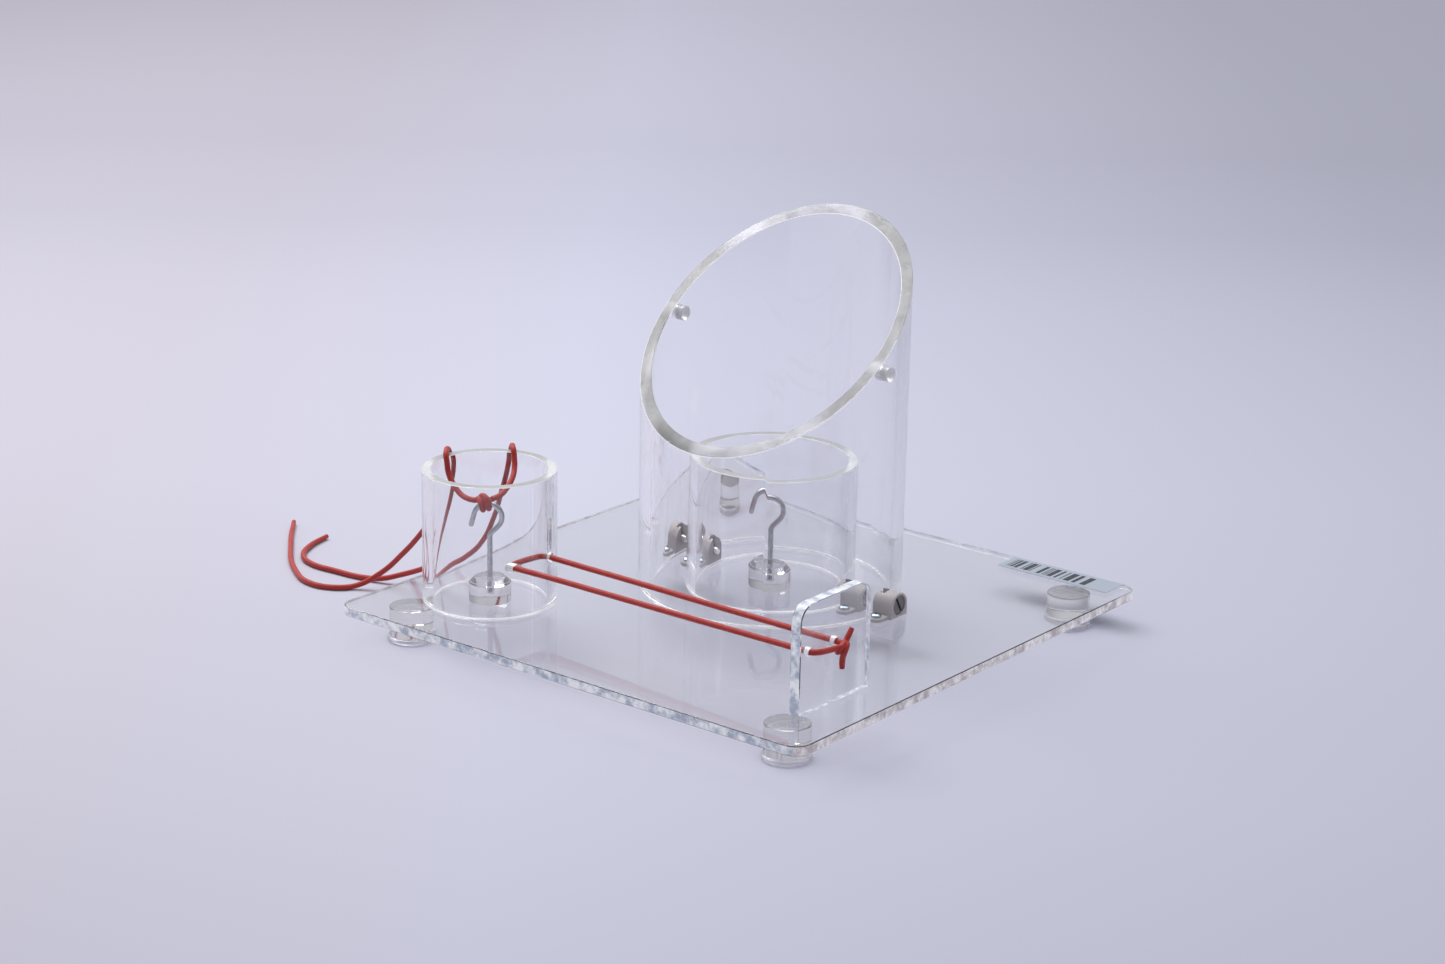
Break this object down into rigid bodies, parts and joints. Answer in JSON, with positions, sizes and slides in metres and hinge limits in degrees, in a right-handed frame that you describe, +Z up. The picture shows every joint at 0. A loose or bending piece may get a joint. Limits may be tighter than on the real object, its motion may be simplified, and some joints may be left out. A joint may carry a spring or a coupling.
{
  "type": "surgical knot tying practice board",
  "caption": "Clear acrylic surgical knot practice board: open cup, slant-cut tube around an inner tube, screw hooks, an elastic band on a post, feet.",
  "frame": {"origin": "centre of the board at the level of the pads' undersides", "axes": "+X along the front edge from the cup towards the post, +Y from the front edge towards the slanted tube's high side, +Z up"},
  "size_m": [0.457, 0.3, 0.2135],
  "materials": {
    "clear_sheet": "clear cast acrylic sheet, polished faces and sawn edges",
    "clear_tube": "clear acrylic tube, polished walls and fine-sawn rims",
    "clear_rod": "clear acrylic rod, turned and polished",
    "soft_pad": "pale translucent silicone, satin",
    "hook_wire": "bright zinc-plated steel wire",
    "cam_zinc": "cast zinc, satin grey",
    "screw_zinc": "blue-bright zinc plating",
    "housing_plastic": "moulded cream-grey nylon, satin",
    "red_elastic": "brick-red elastic cord, satin",
    "label_paper": "coated paper label, blank bars"
  },
  "bodies": {
    "board": {"base_plate": "clear_sheet", "foot_1": "clear_rod", "foot_2": "clear_rod", "foot_3": "clear_rod", "foot_4": "clear_rod", "foot_pad_1": "soft_pad", "foot_pad_2": "soft_pad", "foot_pad_3": "soft_pad", "foot_pad_4": "soft_pad", "left_cup": "clear_tube", "left_stand": "clear_rod", "left_hook": "hook_wire", "right_stand": "clear_rod", "housing_1": "housing_plastic", "housing_2": "housing_plastic", "housing_3": "housing_plastic", "housing_4": "housing_plastic", "housing_screw_1": "screw_zinc", "housing_screw_2": "screw_zinc", "housing_screw_3": "screw_zinc", "housing_screw_4": "screw_zinc", "band_post": "clear_sheet", "band_loop": "red_elastic", "band_knot": "red_elastic", "tie_knot": "red_elastic", "tie_cord_left": "red_elastic", "tie_cord_right": "red_elastic", "stock_label": "label_paper"},
    "outer_tube_body": {"outer_tube": "clear_tube", "rim_peg_left": "clear_rod", "rim_peg_right": "clear_rod", "cam_stud_1": "screw_zinc", "cam_stud_2": "screw_zinc"},
    "inner_tube_body": {"inner_tube": "clear_tube", "cam_stud_3": "screw_zinc", "cam_stud_4": "screw_zinc"},
    "right_hook_body": {"right_hook": "hook_wire"},
    "cam_1_body": {"cam_1": "cam_zinc"},
    "cam_2_body": {"cam_2": "cam_zinc"},
    "cam_3_body": {"cam_3": "cam_zinc"},
    "cam_4_body": {"cam_4": "cam_zinc"}
  },
  "joints": [
    {"name": "outer_tube_lift", "type": "slide", "parent": "board", "child": "outer_tube_body", "axis": [0, 0, 1], "range_m": [0, 0.1]},
    {"name": "inner_tube_lift", "type": "slide", "parent": "board", "child": "inner_tube_body", "axis": [0, 0, 1], "range_m": [0, 0.1]},
    {"name": "right_hook_turn", "type": "hinge", "parent": "board", "child": "right_hook_body", "pos_m": [-0.002, 0.0245, 0.03], "axis": [0, 0, 1], "range_deg": [-180, 180]},
    {"name": "cam_1_turn", "type": "hinge", "parent": "board", "child": "cam_1_body", "pos_m": [0.0765, 0.0275, 0.0266], "axis": [1, 0, 0], "range_deg": [0, 180]},
    {"name": "cam_2_turn", "type": "hinge", "parent": "board", "child": "cam_2_body", "pos_m": [-0.0805, 0.0275, 0.0266], "axis": [-1, 0, 0], "range_deg": [0, 180]},
    {"name": "cam_3_turn", "type": "hinge", "parent": "board", "child": "cam_3_body", "pos_m": [0.0515, 0.0275, 0.0266], "axis": [1, 0, 0], "range_deg": [0, 180]},
    {"name": "cam_4_turn", "type": "hinge", "parent": "board", "child": "cam_4_body", "pos_m": [-0.0555, 0.0275, 0.0266], "axis": [-1, 0, 0], "range_deg": [0, 180]}
  ]
}
